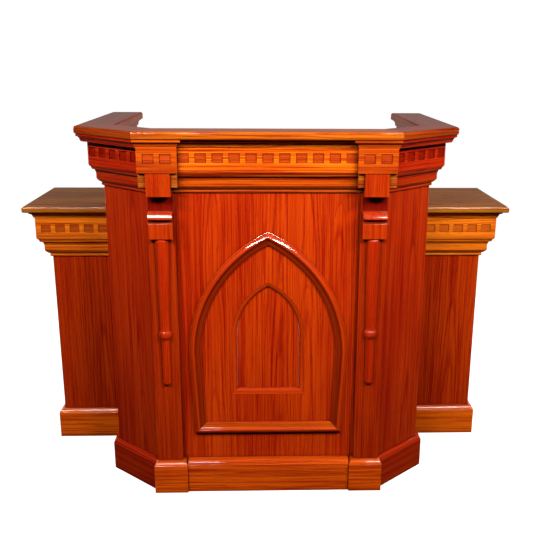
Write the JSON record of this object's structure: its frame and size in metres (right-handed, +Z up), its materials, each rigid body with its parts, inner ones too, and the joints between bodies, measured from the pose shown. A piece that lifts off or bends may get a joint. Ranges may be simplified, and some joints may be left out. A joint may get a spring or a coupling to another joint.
{
  "type": "winged pulpit",
  "caption": "Winged oak pulpit: half-octagon body with a flat U-shaped rim, gothic arch front, classical mouldings and a lower box wing on each side.",
  "frame": {"origin": "on the floor, under the middle of the overall box", "axes": "+X to the right of someone facing the front, +Y from the front towards the reader's side, +Z up"},
  "size_m": [1.727, 0.806, 1.219],
  "materials": {
    "oak_panel": "red-stained oak under glossy lacquer, upright grain",
    "oak_trim": "orange-red stained oak under glossy lacquer, grain along each moulding",
    "oak_top": "brown-red stained oak under glossy lacquer",
    "oak_inner": "stained oak, satin"
  },
  "bodies": {
    "root": {"angle_panel_left": "oak_panel", "angle_panel_right": "oak_panel", "arch_left": "oak_panel", "arch_right": "oak_panel", "arch_sill": "oak_panel", "architrave_angle_left": "oak_trim", "architrave_angle_right": "oak_trim", "architrave_front": "oak_trim", "architrave_side_left": "oak_trim", "architrave_side_right": "oak_trim", "baseboard_angle_left": "oak_trim", "baseboard_angle_right": "oak_trim", "baseboard_front": "oak_trim", "baseboard_side_left": "oak_trim", "baseboard_side_right": "oak_trim", "book_stop": "oak_inner", "bottom_shelf": "oak_inner", "capital_left": "oak_trim", "capital_right": "oak_trim", "corbel_left": "oak_trim", "corbel_right": "oak_trim", "frieze_angle_left": "oak_trim", "frieze_angle_right": "oak_trim", "frieze_front": "oak_trim", "frieze_side_left": "oak_trim", "frieze_side_right": "oak_trim", "front_panel": "oak_panel", "half_column_left": "oak_trim", "half_column_right": "oak_trim", "impost_left": "oak_trim", "impost_right": "oak_trim", "lancet_panel": "oak_panel", "middle_shelf": "oak_inner", "pilaster_left": "oak_trim", "pilaster_right": "oak_trim", "plinth_left": "oak_trim", "plinth_right": "oak_trim", "reading_desk": "oak_inner", "rim_angle_left": "oak_trim", "rim_angle_right": "oak_trim", "rim_arm_left": "oak_trim", "rim_arm_right": "oak_trim", "rim_front": "oak_trim", "side_panel_left": "oak_panel", "side_panel_right": "oak_panel", "wing_base_front_left": "oak_trim", "wing_base_front_right": "oak_trim", "wing_base_side_left": "oak_trim", "wing_base_side_right": "oak_trim", "wing_cornice_front_left": "oak_trim", "wing_cornice_front_right": "oak_trim", "wing_cornice_side_left": "oak_trim", "wing_cornice_side_right": "oak_trim", "wing_panel_front_left": "oak_panel", "wing_panel_front_right": "oak_panel", "wing_panel_side_left": "oak_panel", "wing_panel_side_right": "oak_panel", "wing_top_left": "oak_top", "wing_top_right": "oak_top"}
  },
  "joints": []
}
